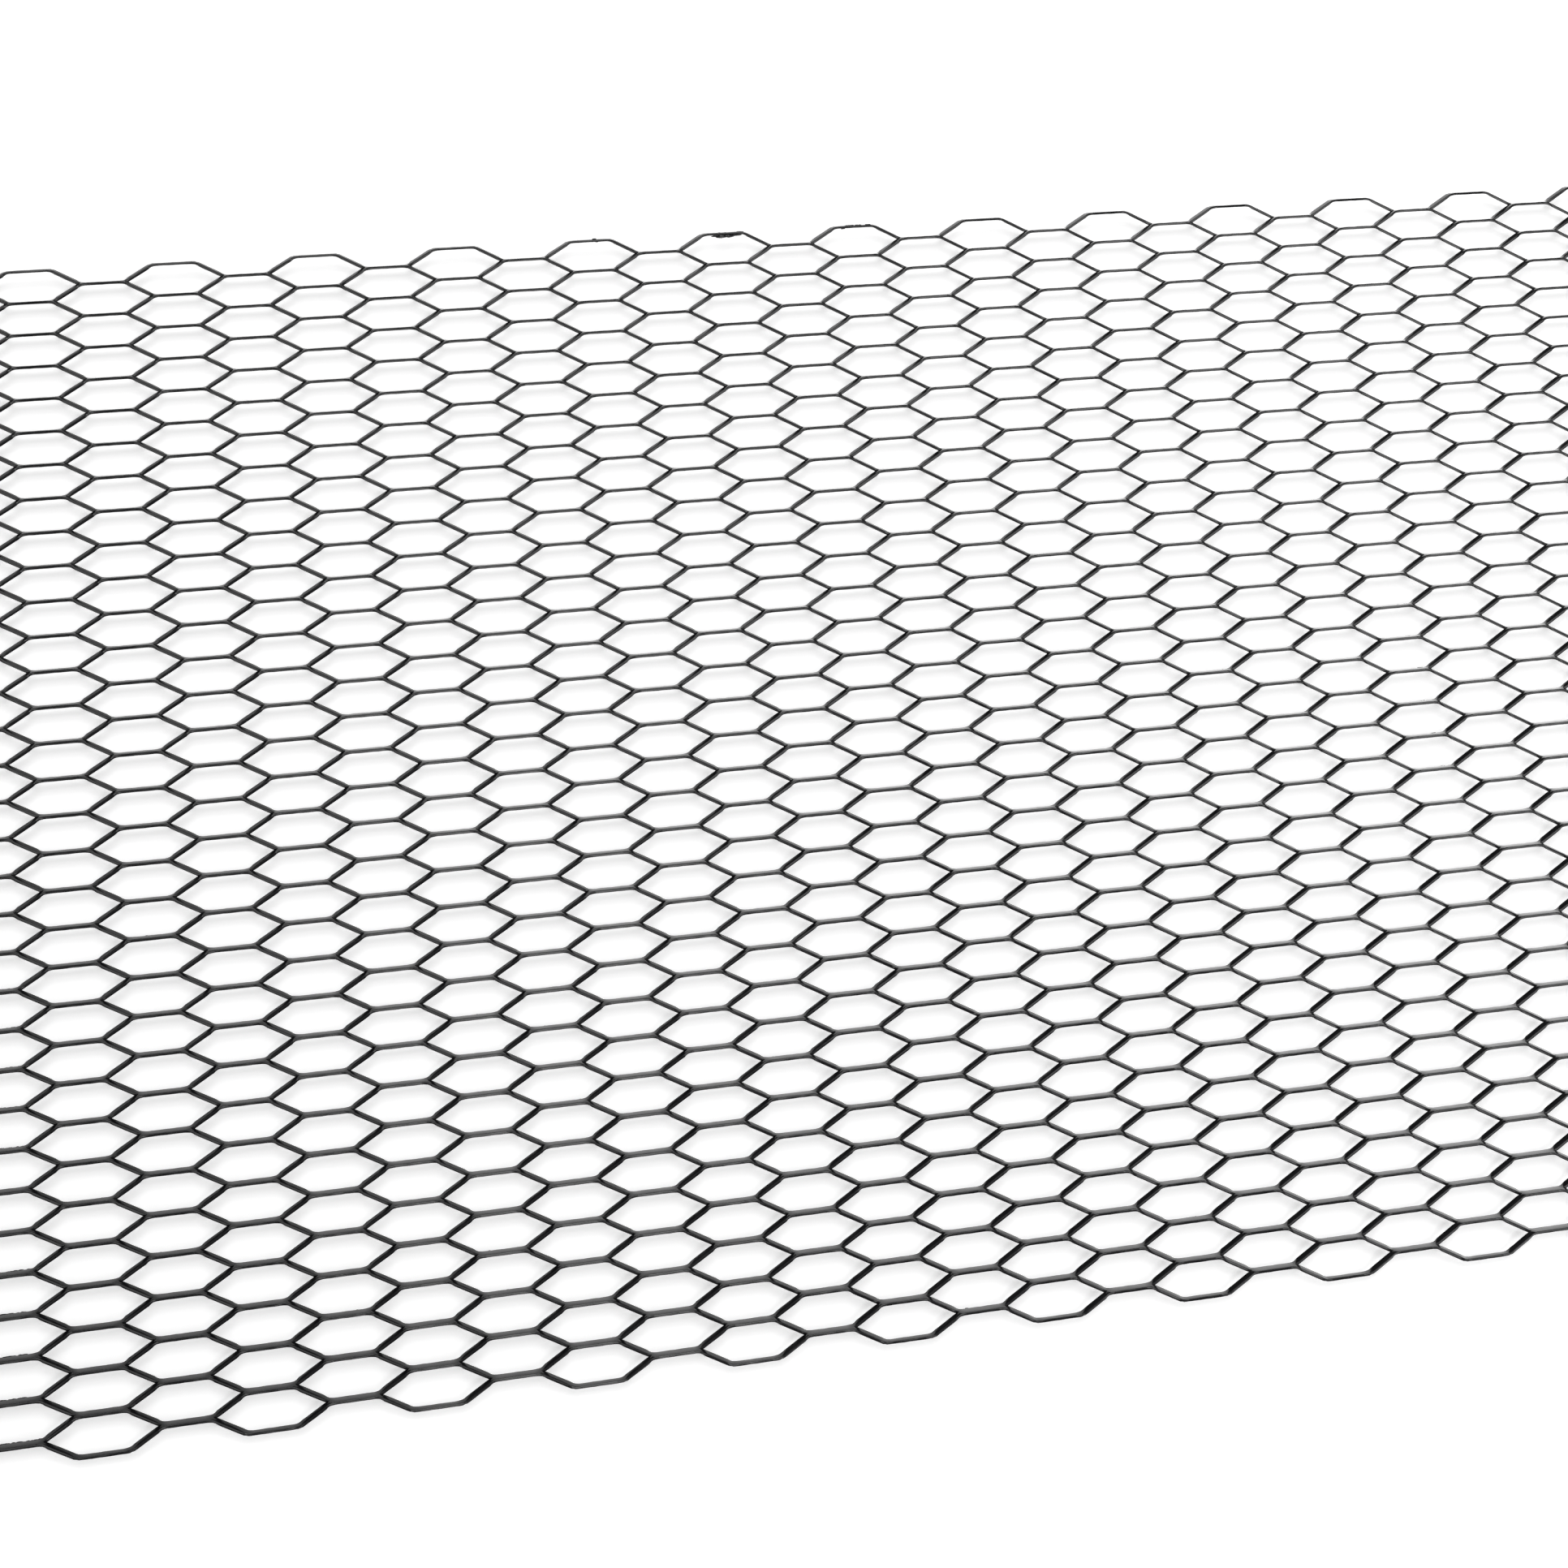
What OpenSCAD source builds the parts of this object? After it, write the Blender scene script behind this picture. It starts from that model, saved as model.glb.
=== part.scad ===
// Raised expanded metal grille mesh: one flat sheet, slit and stretched into
// long hexagonal openings and coated black. It is drawn the way it is made, as
// zigzag strands that stay joined to their neighbours at tilted bonds.
// The length runs along X, the width along Y, and the mesh lies on Z = 0.

/* [Sheet] */
// Length of the sheet, cut square at both ends
sheet_l = 1000; // [200:20:1200]
// Width of the sheet, filled with as many whole openings as fit
sheet_w = 330; // [100:5:420]

/* [Openings] */
// Pitch of the openings along the length, from bond to bond
long_pitch = 40; // [34:1:50]
// Pitch of the openings across the width
short_pitch = 10.25; // [9:0.25:14]

/* [Strand] */
// Gauge of the metal that the mesh is expanded from
gauge = 0.8; // [0.4:0.05:1.2]
// Width of one strand; a bond is two strands wide
strand_w = 1.25; // [0.6:0.05:1.4]
// Tilt of the bonds out of the plane of the mesh, in degrees
bond_tilt = 58; // [40:1:62]
// Length of the bond that joins two neighbouring strands
bond_l = 12; // [6:0.5:14]

/* [Hidden] */
NODES = [
    "mesh_band_1", "mesh_band_2", "mesh_band_3", "mesh_band_4",
    "mesh_band_5", "mesh_band_6", "mesh_band_7", "mesh_band_8"
];

// Columns of bonds stand half a pitch apart, and so do rows of bonds. Both
// long edges end in the same columns, which gives them their scallops.
column_pitch = long_pitch / 2;
row_pitch = short_pitch / 2;
last_column = ceil(sheet_l / long_pitch);
strand_count = 2 * floor(sheet_w / short_pitch);

// Height of a tilted bond, which is the thickness of the raised mesh
mesh_h = 2 * strand_w * sin(bond_tilt) + gauge * cos(bond_tilt);

// The strands are drawn in the frame of a tilted bond: X stays along the
// sheet, U is across the bond and N is square to the bond's broad face.
row_step_u = row_pitch * cos(bond_tilt);
row_step_n = row_pitch * sin(bond_tilt);
function row_u(row) = (row - strand_count / 2) * row_step_u;
function row_n(row) = (row - strand_count / 2) * row_step_n;

// A strand climbs from its low row of bonds (0) to its high row (1) and back.
leg_run = column_pitch - bond_l;
function bond_row(strand, column) = (strand + column + 1) % 2 == 0 ? 0 : 1;
function climb(strand, x) =
    let (
        column = round(x / column_pitch),
        start = bond_row(strand, column),
        past_bond = abs(x - column * column_pitch) - bond_l / 2
    )
    past_bond <= 0 ? start : start + (1 - 2 * start) * past_bond / leg_run;

// Corners of a strand, as [x, climb]: both ends of each bond, and where the
// sheet is cut
function corners(strand) = [
    [-sheet_l / 2, climb(strand, -sheet_l / 2)],
    for (column = [-last_column : last_column])
        for (side = [-1, 1])
            let (x = column * column_pitch + side * bond_l / 2)
            if (abs(x) < sheet_l / 2)
                [x, bond_row(strand, column)],
    [sheet_l / 2, climb(strand, sheet_l / 2)]
];
function reversed(list) = [for (i = [len(list) - 1 : -1 : 0]) list[i]];

// Side view of a strand: a strip of the metal's gauge. The legs are a little
// thinner across, as the metal stretches there when the sheet is opened.
module strand_side(strand) {
    top = [for (c = corners(strand)) [c[0], row_n(strand + c[1]) + gauge / 2]];
    bottom = [for (c = corners(strand)) [c[0], row_n(strand + c[1]) - gauge / 2]];
    polygon(concat(top, reversed(bottom)));
}

// Face view of a strand: it is the far half of its low row's bonds and the
// near half of its high row's bonds, so neighbours meet along each bond.
module strand_face(strand) {
    near = [for (c = corners(strand)) [c[0], row_u(strand + c[1]) - c[1] * strand_w]];
    far = [for (c = corners(strand)) [c[0], row_u(strand + c[1]) + (1 - c[1]) * strand_w]];
    polygon(concat(near, reversed(far)));
}

// Both views reach past the strand by a strand's width, to cut each other.
module strand(number) {
    intersection() {
        translate([0, row_u(number) + row_step_u + strand_w, 0])
            rotate([90, 0, 0])
                linear_extrude(row_step_u + 2 * strand_w)
                    strand_side(number);
        translate([0, 0, row_n(number) - gauge / 2 - strand_w])
            linear_extrude(row_step_n + gauge + 2 * strand_w)
                strand_face(number);
    }
}

// Neighbouring strands fused along their bonds, tilted to lie on the floor
function first_strand(band) = round((band - 1) * strand_count / len(NODES));
module mesh_band(band) {
    color("#202022")
        translate([0, 0, mesh_h / 2])
            rotate([-bond_tilt, 0, 0])
                union() {
                    for (number = [first_strand(band) : first_strand(band + 1) - 1])
                        strand(number);
                }
}

mesh_band(1);  // mesh_band_1
mesh_band(2);  // mesh_band_2
mesh_band(3);  // mesh_band_3
mesh_band(4);  // mesh_band_4
mesh_band(5);  // mesh_band_5
mesh_band(6);  // mesh_band_6
mesh_band(7);  // mesh_band_7
mesh_band(8);  // mesh_band_8
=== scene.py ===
"""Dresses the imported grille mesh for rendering.

Each of the CAD model's eight bands is replaced by one closed mesh of the same
strands, with the rounded bends, twisted legs and soft edges of the real
expanded metal. Shapes are worked out in millimetres and written in metres.
"""
import math

import bpy
import numpy as np
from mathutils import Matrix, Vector


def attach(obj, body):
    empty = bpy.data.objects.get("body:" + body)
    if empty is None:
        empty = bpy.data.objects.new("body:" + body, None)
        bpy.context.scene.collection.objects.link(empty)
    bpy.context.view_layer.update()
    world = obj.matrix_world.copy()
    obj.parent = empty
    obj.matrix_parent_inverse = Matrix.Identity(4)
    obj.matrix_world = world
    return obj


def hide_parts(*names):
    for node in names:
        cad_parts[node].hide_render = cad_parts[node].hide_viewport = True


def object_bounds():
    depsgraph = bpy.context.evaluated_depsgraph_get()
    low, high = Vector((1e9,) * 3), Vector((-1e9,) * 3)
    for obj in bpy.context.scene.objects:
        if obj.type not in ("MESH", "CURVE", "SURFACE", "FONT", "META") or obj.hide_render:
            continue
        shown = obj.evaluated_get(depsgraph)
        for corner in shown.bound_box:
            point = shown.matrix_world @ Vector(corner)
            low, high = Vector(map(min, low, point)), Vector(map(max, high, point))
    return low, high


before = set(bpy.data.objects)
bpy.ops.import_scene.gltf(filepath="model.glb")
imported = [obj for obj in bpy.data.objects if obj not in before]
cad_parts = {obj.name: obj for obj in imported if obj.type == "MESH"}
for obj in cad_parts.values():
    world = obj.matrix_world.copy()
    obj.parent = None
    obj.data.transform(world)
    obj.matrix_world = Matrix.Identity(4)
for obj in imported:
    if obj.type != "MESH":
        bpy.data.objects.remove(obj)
cad_low, cad_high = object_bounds()

MM = 0.001

# Lattice of bonds, as in the CAD model
HALF_LENGTH = 500.0
LAST_COLUMN = 25
COLUMN_PITCH = 20.0
ROW_PITCH = 5.125
STRANDS = 64
BANDS = 8
BOND_TILT = math.radians(58)
BOND_END = 6.0
LEG_RUN = COLUMN_PITCH - 2 * BOND_END

# Section of the strands. The coating rounds it, and the legs are wider, thicker
# and rolled further than the bonds.
STRAND_W = 1.31
BOND_T = 0.8
LEG_WIDER = 0.4
LEG_THICKER = 0.06
LEG_ROLL_RIGHT = math.radians(17)
LEG_ROLL_LEFT = math.radians(13)
TWIST_RUN = 1.3
EDGE_WIDER = 0.3
BEND = 1.6
ARRIS = 0.11
NOTCH_RUN = 1.0

# Slight unevenness of the drawn metal: how far, and over what length of sheet
RIPPLE = 0.025
RIPPLE_PITCH = 4.7

# Distances from the middle of a strand's low bond at which its section is
# drawn: the bond, its bend, the leg, the next bend and the high bond
STATIONS = [
    0.0, 1.4, 2.8, 4.2, 4.9, 5.5, 6.0,
    6.5, 7.1, 8.0, 10.0, 12.0, 12.9, 13.5,
    14.0, 14.5, 15.1, 15.8, 17.2, 18.6, 20.0,
]

# Corners of a section, in order round it from the top
CORNERS = 8
TOP_NEAR, TOP_FAR, FAR_HIGH, FAR_LOW, BASE_FAR, BASE_NEAR, NEAR_LOW, NEAR_HIGH = range(CORNERS)
NEAR_SIDE = [BASE_NEAR, NEAR_LOW, NEAR_HIGH, TOP_NEAR]
FAR_SIDE = [BASE_FAR, FAR_LOW, FAR_HIGH, TOP_FAR]
END_CAP = [
    [NEAR_HIGH, TOP_NEAR, TOP_FAR, FAR_HIGH],
    [NEAR_LOW, NEAR_HIGH, FAR_HIGH, FAR_LOW],
    [BASE_NEAR, NEAR_LOW, FAR_LOW, BASE_FAR],
]

# Burrs of metal and coating on the bonds, where the photograph has them: column
# and rows of bonds, how many on each, first and last place along the bond, size,
# and how far across the bond's broad face and above its middle they sit
FAR_ARRIS = (STRAND_W, BOND_T / 2 - 0.1)
BURRS = [
    (-1, [64], 2, 1.2, 1.9, 0.42, -0.7, 0.45),
    (-1, [64], 1, 1.8, 2.2, 0.3, -1.0, -0.45),
    (1, [64], 5, -1.2, 1.6, 1.15, -1.15, -0.8),
    (1, [64], 7, -2.6, 4.6, 0.75, -1.1, -0.6),
    (1, [64], 6, -1.5, 6.2, 0.5, -0.4, 0.25),
    (3, [64], 9, -3.6, 6.6, 0.5, -0.6, 0.35),
    (3, [64], 1, -3.5, -3.2, 0.4, -1.0, -0.5),
    (2, [1], 2, -4.8, -3.2, 0.34, *FAR_ARRIS),
    (10, range(27, 39, 2), 7, 1.5, 7.0, 0.34, *FAR_ARRIS),
    (-10, range(15, 31, 2), 9, -5.5, 5.5, 0.32, *FAR_ARRIS),
    (-10, range(1, 11, 2), 13, -5.5, 5.5, 0.38, *FAR_ARRIS),
]

# Burrs strewn over each band, and the shape of all burrs: half their length,
# width and height for their size, and how much sizes and corners vary
BURR_SEED = 70
STRAY_BURRS = 24
STRAY_BURR = 0.24
LUMP_SHAPE = (1.8, 1.0, 0.5)
BURR_SIZES = (0.6, 1)
LUMP_CORNERS = (0.75, 1.25)

# Black gloss coat: darkest and palest tone, roughness, orange peel, and the
# scales of the noises behind them
COAT_IOR = 1.5
COAT_TONES = (0.004, 0.004, 0.005, 1), (0.010, 0.010, 0.011, 1)
COAT_ROUGHNESS = (0.1, 0.18)
PEEL_STRENGTH = 0.15
PEEL_HEIGHT = 0.04 * MM
TONE_SCALE, TONE_SPAN = 120, (0.35, 0.7)
GLOSS_SCALE, GLOSS_SPAN = 260, (0.3, 0.7)
PEEL_SCALE = 1400

# Camera fitted to the openings in the photograph
CAMERA_AT = (-0.11759, -0.22977, 0.63006)
CAMERA_TURN = (20.389, -8.418, -8.968)
CAMERA_LENS = 56.66
CAMERA_REACH = (0.01, 50)

# Distant lamps, which cast the main shadows: name, azimuth and elevation, spread
# and strength. Azimuth 0 stands at -Y and 90 at +X, seen from above.
LAMPS = [
    ("key", 176, 50, 24, 0.62),
    ("overhead", 180, 72, 34, 0.6),
]

# Disc lamps that the strands mirror: name, azimuth and elevation, distance and
# size in metres, and brightness, where 1 shows as white. They come from a fit to
# the brightness of the strands in the photograph.
SOFTBOXES = [
    ("softbox_high", 12.6, 54.2, 2.34, 1.19, 1.54),
    ("softbox_high_right", 42.9, 53.4, 3.0, 0.96, 3.8),
    ("softbox_front", 4.4, 42.5, 1.9, 0.45, 2.94),
    ("softbox_left", -39.0, 32.3, 1.99, 1.59, 1.25),
    ("softbox_right", 57.0, 22.0, 0.95, 0.76, 1.82),
    ("softbox_low", 2.6, 26.1, 2.72, 0.67, 3.1),
]

# Light of the room, where 1 is white, and what the floor adds to look white.
# To the camera it adds more in the distance, and painted light towards the far
# edge, which makes the shadows fainter there. Glossy rays alone see a painted
# reflection on the floor, brighter to the right, which shows in the strands.
# The world beyond is white to the camera, but reflections keep the light of the
# room, so that the strands stay dark. The sheet bows up a little in the
# photograph, so the floor is lower.
WHITE = (1, 1, 1, 1)
WORLD_LIGHT = 0.12
FLOOR_COLOR = (0.93, 0.93, 0.93, 1)
FLOOR_HALF = 40.0
FLOOR_DROP = 1.5 * MM
FLOOR_SPAN = (-0.18, 0.18)
FLOOR_LIFT_AND_PAINTED_LIGHT_NEAR_TO_FAR = (0.33, 0.5)
FLOOR_PAINTED_REFLECTION_LEFT_TO_RIGHT = (0.0, 1.15)
FAR_FLOOR_SPAN = (0.8, 2.4)
FAR_FLOOR_LIFT = (0.0, 0.6)


def smooth(t):
    t = np.clip(t, 0, 1)
    return t * t * (3 - 2 * t)


def bent(run):
    """How far a leg has climbed, run past the end of its bond, with a rounded bend."""
    bend = (run + BEND) ** 2 / (4 * BEND)
    return np.where(np.abs(run) < BEND, bend, np.maximum(run, 0)) / LEG_RUN


def section_axes(turn, slope):
    """Axes of sections square to a strand, as they show in planes across the sheet."""
    along = np.column_stack([np.ones(len(slope)), slope])
    along /= np.linalg.norm(along, axis=1, keepdims=True)
    across = [0, 1, 0] - along * along[:, 1:2]
    across /= np.linalg.norm(across, axis=1, keepdims=True)
    up = np.cross(along, across)
    cos, sin = np.cos(turn)[:, None], np.sin(turn)[:, None]
    turned = across * cos + up * sin, up * cos - across * sin
    return [(axis - along * axis[:, :1] / along[:, :1])[:, 1:] for axis in turned]


def strand_sections(d, rightward, free_near, free_far):
    """Corners of a strand as (station, corner, across or up), in a bond's own axes.

    d is the distance from the middle of the low bond, and rightward tells the
    leg that climbs to the right from the other one. A free side has rounded
    edges along its bonds; on any other side the next strand joins it there.
    """
    step_across = ROW_PITCH * math.cos(BOND_TILT) - STRAND_W
    step = np.array([step_across, ROW_PITCH * math.sin(BOND_TILT)])
    past_low = d - BOND_END
    before_high = COLUMN_PITCH - BOND_END - d
    climb_near = np.maximum(0, 1 - bent(before_high))
    climb_far = np.minimum(1, bent(past_low))
    near = climb_near[:, None] * step
    far = np.array([STRAND_W, 0]) + climb_far[:, None] * step
    if free_near:
        far[:, 0] += EDGE_WIDER * (1 - smooth(past_low / TWIST_RUN))
    if free_far:
        near[:, 0] -= EDGE_WIDER * (1 - smooth(before_high / TWIST_RUN))
    middle = (near + far) / 2
    in_leg = smooth(past_low / TWIST_RUN) * smooth(before_high / TWIST_RUN)

    width = np.hypot(*(far - near).T) + LEG_WIDER * in_leg
    roll = np.where(rightward, LEG_ROLL_RIGHT, LEG_ROLL_LEFT)
    turn = np.arctan2(*(far - near).T[::-1]) + roll * in_leg
    across, up = section_axes(turn, in_leg[:, None] * step / LEG_RUN)
    half_w = across * (width / 2)[:, None]
    half_t = up * ((BOND_T + LEG_THICKER * in_leg) / 2)[:, None]

    inset_near = ARRIS * (1 if free_near else smooth(past_low / NOTCH_RUN))
    inset_far = ARRIS * (1 if free_far else smooth(before_high / NOTCH_RUN))
    in_near = across * np.broadcast_to(inset_near, d.shape)[:, None]
    in_far = across * np.broadcast_to(inset_far, d.shape)[:, None]
    corners = np.empty((len(d), CORNERS, 2))
    corners[:, TOP_NEAR] = middle - half_w + half_t + in_near
    corners[:, TOP_FAR] = middle + half_w + half_t - in_far
    corners[:, FAR_HIGH] = middle + half_w + half_t - up * ARRIS
    corners[:, FAR_LOW] = middle + half_w - half_t + up * ARRIS
    corners[:, BASE_FAR] = middle + half_w - half_t - in_far
    corners[:, BASE_NEAR] = middle - half_w - half_t + in_near
    corners[:, NEAR_LOW] = middle - half_w - half_t + up * ARRIS
    corners[:, NEAR_HIGH] = middle - half_w + half_t - up * ARRIS
    return corners


def strand_x(number):
    """Places along the sheet where strand number's section is drawn.

    With each come its distance from the nearest low bond, and whether it is on
    the leg that climbs to the right.
    """
    first_low = COLUMN_PITCH * ((number + 1) % 2)
    offsets = sorted({side * d for side in (-1, 1) for d in STATIONS if side * d < COLUMN_PITCH})
    lows = first_low + 2 * COLUMN_PITCH * np.arange(-LAST_COLUMN // 2, LAST_COLUMN // 2 + 2)
    x = np.unique(np.round(np.add.outer(lows, offsets).ravel(), 4))
    x = x[np.abs(x) <= HALF_LENGTH]
    from_low = (x - first_low + COLUMN_PITCH) % (2 * COLUMN_PITCH) - COLUMN_PITCH
    return x, np.abs(from_low), from_low > 0


def strand_points(number, x, d, rightward):
    free_near = number == 0
    free_far = number == STRANDS - 1
    corners = strand_sections(d, rightward, free_near, free_far)
    across, up = corners[..., 0], corners[..., 1]
    return rippled(tilted(x[:, None], across, up, number))


def tilted(x, across, up, row):
    """Points given along, across and square to a row's bonds, in the sheet's own axes."""
    row_y = (row - STRANDS / 2) * ROW_PITCH
    y = across * math.cos(BOND_TILT) + up * math.sin(BOND_TILT) + row_y
    z = up * math.cos(BOND_TILT) - across * math.sin(BOND_TILT) + cad_high.z / MM / 2
    return np.stack(np.broadcast_arrays(x, y, z), -1)


def rippled(points):
    """Bends points a little out of true, the same for strands that share them.

    The waves' factors have nothing in common, so that no pattern shows.
    """
    x, y, z = np.moveaxis(points, -1, 0).copy()
    phase = 2 * math.pi * x / RIPPLE_PITCH
    points[..., 1] += RIPPLE * np.sin(phase + 2.3 * y + np.sin(0.7 * phase - y))
    points[..., 2] += RIPPLE * np.sin(0.8 * phase - 1.9 * y + np.sin(0.5 * phase + 2 * z))
    return kept_inside(points)


def kept_inside(points):
    """The points, moved onto the CAD model's box where they are outside it."""
    return np.clip(points, np.array(cad_low) / MM, np.array(cad_high) / MM)


def lump(centre, size, row, rng):
    """A closed knobbly lump of 24 faces about a centre in the axes of a row's bonds."""
    steps = np.array([-1, 0, 1])
    grid = np.stack(np.meshgrid(steps, steps, steps, indexing="ij"), -1).reshape(-1, 3)
    index = np.arange(len(grid)).reshape(3, 3, 3)
    faces = []
    for axis in range(3):
        for side in (0, 2):
            face = np.take(index, side, axis)
            if (axis == 1) == (side == 2):
                face = face.T
            corners = [face[:-1, :-1], face[1:, :-1], face[1:, 1:], face[:-1, 1:]]
            faces.append(np.stack(corners, -1).reshape(-1, 4))
    ball = grid / np.maximum(np.linalg.norm(grid, axis=1, keepdims=True), 1)
    ball *= size * rng.uniform(*LUMP_CORNERS, (len(grid), 1)) * LUMP_SHAPE
    return kept_inside(tilted(*(ball + centre).T, row)), np.concatenate(faces)


def burrs(band):
    """Points and faces of the burrs on one band, partly sunk in its strands."""
    rng = np.random.default_rng(BURR_SEED + band)
    first_row, last_row = (side * STRANDS // BANDS for side in (band, band + 1))
    runs = list(BURRS)
    for _ in range(STRAY_BURRS):
        row = rng.integers(first_row + 1, last_row)
        column = 2 * rng.integers(-LAST_COLUMN // 2 + 1, LAST_COLUMN // 2) + (row + 1) % 2
        along = rng.uniform(-BOND_END, BOND_END)
        runs.append((column, [row], 1, along, along, STRAY_BURR, *FAR_ARRIS))
    points, faces = [], []
    for column, rows, count, start, end, size, across, up in runs:
        for row in rows:
            if not first_row < row <= last_row:
                continue
            for place in rng.uniform(start, end, count):
                centre = column * COLUMN_PITCH + place, across, up
                own_size = size * rng.uniform(*BURR_SIZES)
                lump_points, lump_faces = lump(centre, own_size, row, rng)
                faces.append(lump_faces + len(lump_points) * len(points))
                points.append(lump_points)
    return np.concatenate(points), np.concatenate(faces)


def band_mesh(band):
    """One band's joined strands: points, faces, and which points are on contact edges."""
    numbers = range(band * STRANDS // BANDS, (band + 1) * STRANDS // BANDS)
    points, faces, contact = [], [], []
    below = None
    for number in numbers:
        x, d, rightward = strand_x(number)
        count = x.size * CORNERS
        own = len(points) * count + np.arange(count).reshape(-1, CORNERS)
        points.append(strand_points(number, x, d, rightward))
        low_bond = d <= BOND_END
        high_bond = d >= COLUMN_PITCH - BOND_END
        joined_near = number > numbers[0]
        joined_far = number < numbers[-1]
        if joined_near:
            own[np.ix_(low_bond, NEAR_SIDE)] = below[np.ix_(low_bond, FAR_SIDE)]
        elif number > 0:
            contact.append(own[np.ix_(low_bond, [TOP_NEAR, BASE_NEAR])].ravel())
        if not joined_far and number < STRANDS - 1:
            contact.append(own[np.ix_(high_bond, [TOP_FAR, BASE_FAR])].ravel())
        below = own

        start, end = own[:-1], own[1:]
        around = np.roll(np.arange(CORNERS), -1)
        quads = np.stack([start, end, end[:, around], start[:, around]], 2)
        kept = np.ones(quads.shape[:2], bool)
        if joined_near:
            inside = low_bond[:-1] & low_bond[1:]
            kept[np.ix_(inside, [BASE_NEAR, NEAR_LOW, NEAR_HIGH])] = False
        if joined_far:
            inside = high_bond[:-1] & high_bond[1:]
            kept[np.ix_(inside, [TOP_FAR, FAR_HIGH, FAR_LOW])] = False
        faces.append(quads[kept])
        for ring, order in ((own[0], 1), (own[-1], -1)):
            faces.append(ring[np.array(END_CAP)][:, ::order])

    points = np.concatenate(points).reshape(-1, 3)
    faces = np.concatenate(faces)
    used, faces = np.unique(faces, return_inverse=True)
    on_contact = np.zeros(len(points), bool)
    on_contact[np.concatenate(contact)] = True
    return points[used], faces.reshape(-1, 4), on_contact[used]


def new_object(name, data):
    obj = bpy.data.objects.new(name, data)
    bpy.context.scene.collection.objects.link(obj)
    return obj


def make_band(band):
    points, faces, on_contact = band_mesh(band)
    burr_points, burr_faces = burrs(band)
    faces = np.concatenate([faces, burr_faces + len(points)])
    points = np.concatenate([points, burr_points])
    on_contact = np.concatenate([on_contact, np.zeros(len(burr_points), bool)])
    mesh = bpy.data.meshes.new(f"mesh_look_{band + 1}")
    mesh.from_pydata((points * MM).tolist(), [], faces.tolist())
    mesh.polygons.foreach_set("use_smooth", np.ones(len(faces), bool))
    edges = np.empty(len(mesh.edges) * 2, np.int32)
    mesh.edges.foreach_get("vertices", edges)
    sharp = on_contact[edges.reshape(-1, 2)].all(1)
    mesh.attributes.new("sharp_edge", "BOOLEAN", "EDGE").data.foreach_set("value", sharp)
    obj = new_object(mesh.name, mesh)
    weights = obj.modifiers.new("flat faces", "WEIGHTED_NORMAL")
    weights.keep_sharp = True
    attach(obj, "root")
    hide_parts(f"mesh_band_{band + 1}")
    return obj


def new_tree(owner, kind, name):
    """A new material or world, its node tree and the tree's shader."""
    block = owner.new(name)
    block.use_nodes = True
    return block, block.node_tree, block.node_tree.nodes[kind]


def rising(tree, value, span, rise):
    """A value that goes through rise while the given one goes through span."""
    node = tree.nodes.new("ShaderNodeMapRange")
    for socket, limit in zip(("From Min", "From Max", "To Min", "To Max"), (*span, *rise)):
        node.inputs[socket].default_value = limit
    tree.links.new(value, node.inputs["Value"])
    return node.outputs["Result"]


def combined(tree, operation, first, second):
    node = tree.nodes.new("ShaderNodeMath")
    node.operation = operation
    tree.links.new(first, node.inputs[0])
    tree.links.new(second, node.inputs[1])
    return node.outputs[0]


def seen(tree, rays):
    """1 where the camera sees the surface, directly or through glass."""
    return combined(tree, "ADD", rays["Is Camera Ray"], rays["Is Transmission Ray"])


def coat_material():
    material, tree, shader = new_tree(bpy.data.materials, "Principled BSDF", "black_coat")
    shader.inputs["IOR"].default_value = COAT_IOR
    place = tree.nodes.new("ShaderNodeTexCoord")

    def noise(scale, detail):
        node = tree.nodes.new("ShaderNodeTexNoise")
        node.inputs["Scale"].default_value = scale
        node.inputs["Detail"].default_value = detail
        tree.links.new(place.outputs["Object"], node.inputs["Vector"])
        return node.outputs["Fac"]

    tone = tree.nodes.new("ShaderNodeValToRGB")
    for stop, position, color in zip(tone.color_ramp.elements, TONE_SPAN, COAT_TONES):
        stop.position = position
        stop.color = color
    tree.links.new(noise(TONE_SCALE, 4), tone.inputs["Fac"])
    tree.links.new(tone.outputs["Color"], shader.inputs["Base Color"])

    gloss_and_painted_reflection = rising(tree, noise(GLOSS_SCALE, 3), GLOSS_SPAN, COAT_ROUGHNESS)
    tree.links.new(gloss_and_painted_reflection, shader.inputs["Roughness"])

    peel = tree.nodes.new("ShaderNodeBump")
    peel.inputs["Strength"].default_value = PEEL_STRENGTH
    peel.inputs["Distance"].default_value = PEEL_HEIGHT
    tree.links.new(noise(PEEL_SCALE, 2), peel.inputs["Height"])
    tree.links.new(peel.outputs["Normal"], shader.inputs["Normal"])
    return material


def make_camera():
    data = bpy.data.cameras.new("photo_camera")
    data.lens = CAMERA_LENS
    data.clip_start, data.clip_end = CAMERA_REACH
    camera = new_object("photo_camera", data)
    camera.location = CAMERA_AT
    camera.rotation_euler = [math.radians(a) for a in CAMERA_TURN]
    bpy.context.scene.camera = camera


def aimed_lamp(data, azimuth, elevation):
    lamp = new_object(data.name, data)
    lamp.rotation_euler = (math.radians(90 - elevation), 0, math.radians(azimuth))
    return lamp


def make_lamp(name, azimuth, elevation, spread, strength):
    data = bpy.data.lights.new(name, "SUN")
    data.angle = math.radians(spread)
    data.energy = strength
    aimed_lamp(data, azimuth, elevation)


def make_softbox(name, azimuth, elevation, distance, size, brightness):
    data = bpy.data.lights.new(name, "AREA")
    data.shape = "DISK"
    data.size = size
    data.energy = brightness * math.pi * math.pi * (size / 2) ** 2
    lamp = aimed_lamp(data, azimuth, elevation)
    lamp.location = lamp.rotation_euler.to_matrix() @ Vector((0, 0, distance))


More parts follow.
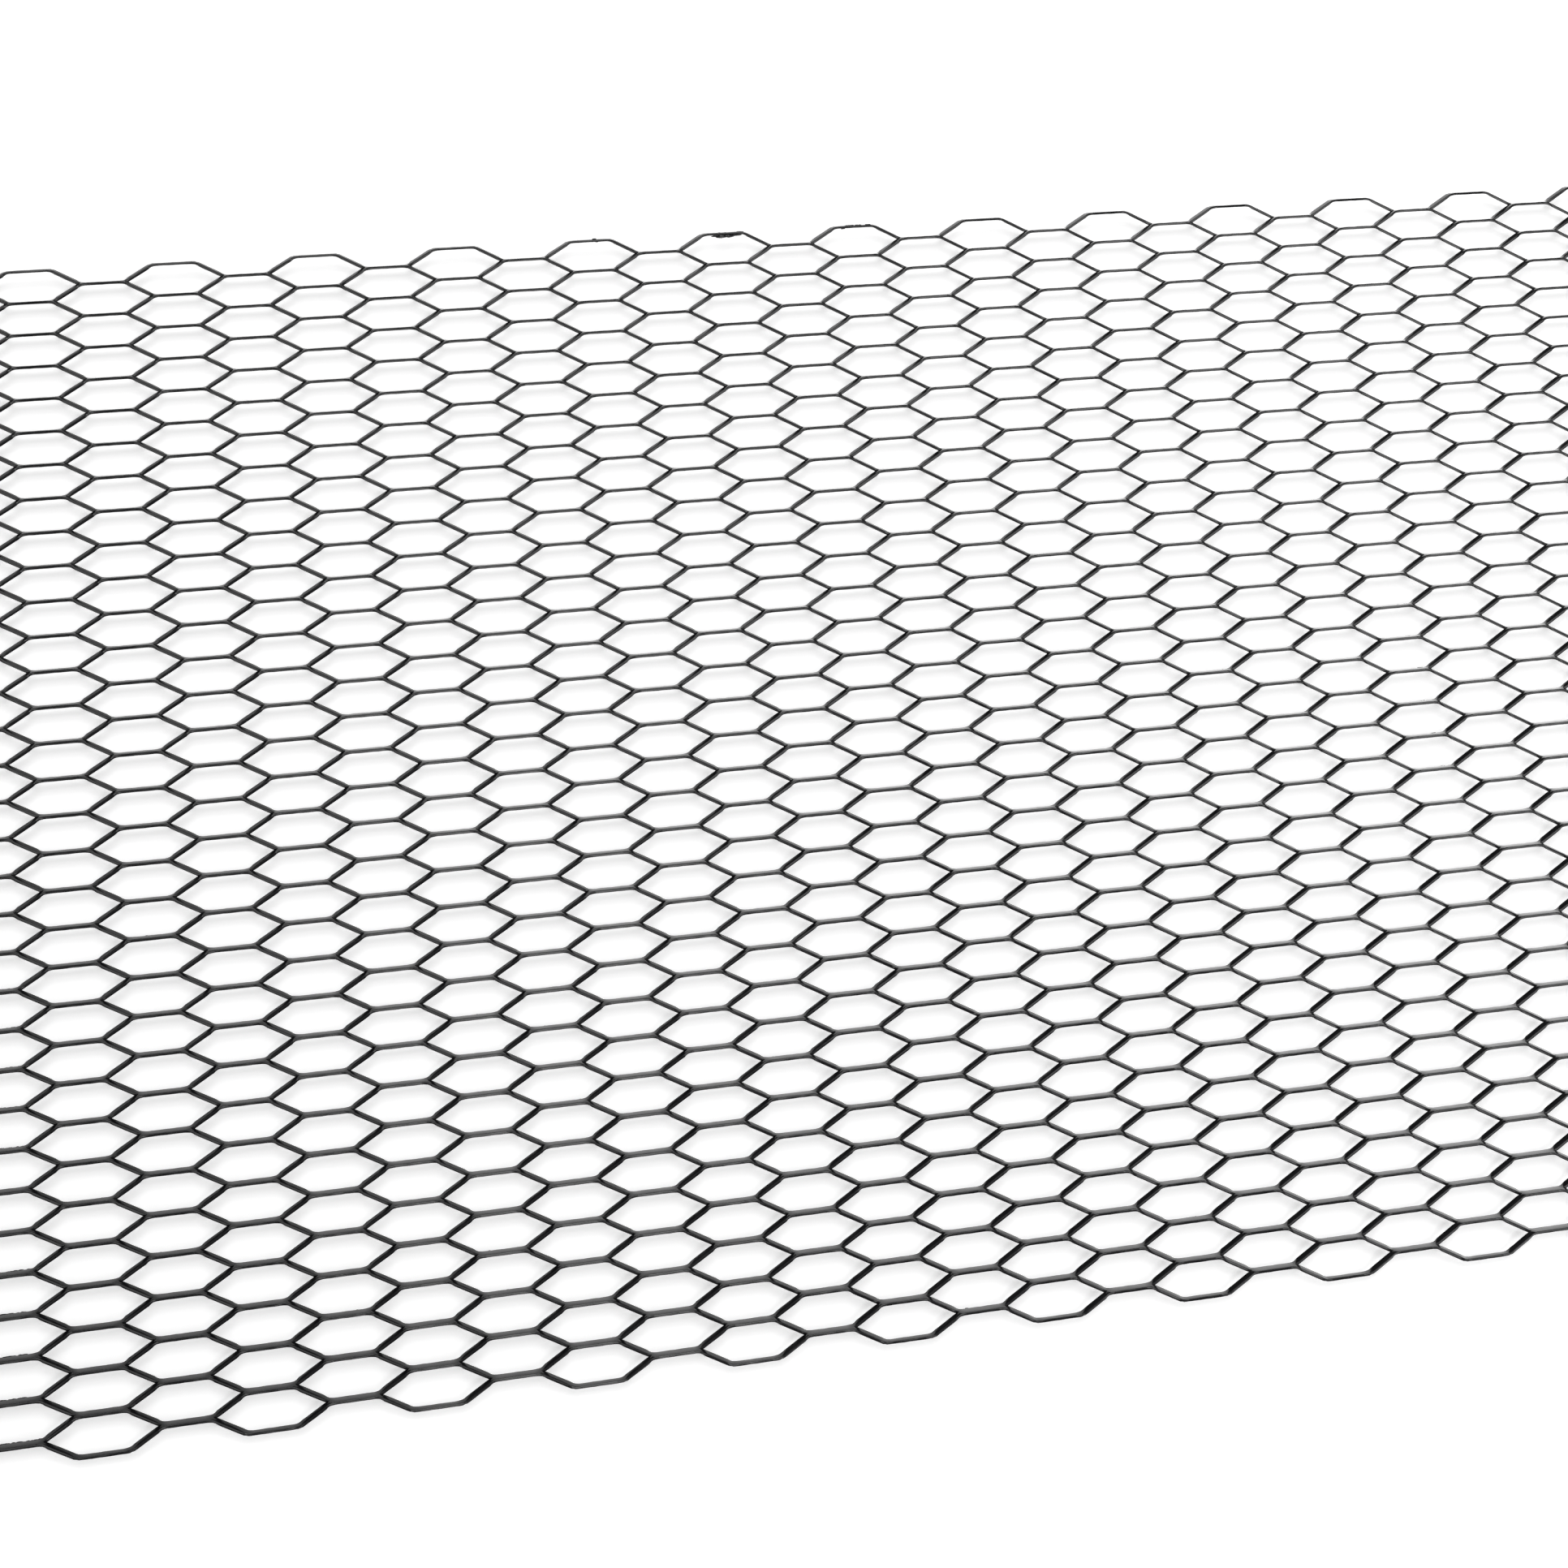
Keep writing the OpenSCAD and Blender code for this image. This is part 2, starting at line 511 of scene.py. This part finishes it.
def make_floor():
    mesh = bpy.data.meshes.new("floor")
    sides = (-FLOOR_HALF, FLOOR_HALF)
    corners = [(x, y, -FLOOR_DROP) for x in sides for y in sides]
    mesh.from_pydata(corners, [], [(0, 2, 3, 1)])
    material, tree, shader = new_tree(bpy.data.materials, "Principled BSDF", "floor_white")
    shader.inputs["Base Color"].default_value = FLOOR_COLOR
    shader.inputs["Specular IOR Level"].default_value = 0
    shader.inputs["Roughness"].default_value = 1
    shader.inputs["Emission Color"].default_value = WHITE
    place = tree.nodes.new("ShaderNodeTexCoord").outputs["Object"]
    split = tree.nodes.new("ShaderNodeSeparateXYZ")
    distance = tree.nodes.new("ShaderNodeVectorMath")
    distance.operation = "LENGTH"
    tree.links.new(place, split.inputs[0])
    tree.links.new(place, distance.inputs[0])

    # Painted light: beyond the even white lift, the floor shows brighter to the camera towards
    # the far edge, so the shadows there are fainter.
    lift_and_painted_light = rising(tree, split.outputs["Y"], FLOOR_SPAN, FLOOR_LIFT_AND_PAINTED_LIGHT_NEAR_TO_FAR)
    far_lift = rising(tree, distance.outputs["Value"], FAR_FLOOR_SPAN, FAR_FLOOR_LIFT)
    lift = combined(tree, "ADD", lift_and_painted_light, far_lift)
    # Painted reflection: only glossy rays see this emission, brighter to the right, so the
    # strands mirror more light there.
    gloss_and_painted_reflection = rising(tree, split.outputs["X"], FLOOR_SPAN, FLOOR_PAINTED_REFLECTION_LEFT_TO_RIGHT)
    rays = tree.nodes.new("ShaderNodeLightPath").outputs
    direct = combined(tree, "MULTIPLY", seen(tree, rays), lift)
    painted_reflection = combined(tree, "MULTIPLY", rays["Is Glossy Ray"], gloss_and_painted_reflection)
    light = combined(tree, "ADD", direct, painted_reflection)
    tree.links.new(light, shader.inputs["Emission Strength"])
    mesh.materials.append(material)
    new_object("floor", mesh)


def make_world():
    world, tree, background = new_tree(bpy.data.worlds, "Background", "studio")
    background.inputs["Color"].default_value = WHITE
    rays = tree.nodes.new("ShaderNodeLightPath").outputs
    light = rising(tree, seen(tree, rays), (0, 1), (WORLD_LIGHT, 1))
    tree.links.new(light, background.inputs["Strength"])
    bpy.context.scene.world = world
    bpy.context.scene.view_settings.view_transform = "Standard"


make_camera()
make_floor()
make_world()
for lamp in LAMPS:
    make_lamp(*lamp)
for softbox in SOFTBOXES:
    make_softbox(*softbox)
coat = coat_material()
for band in range(BANDS):
    make_band(band).data.materials.append(coat)
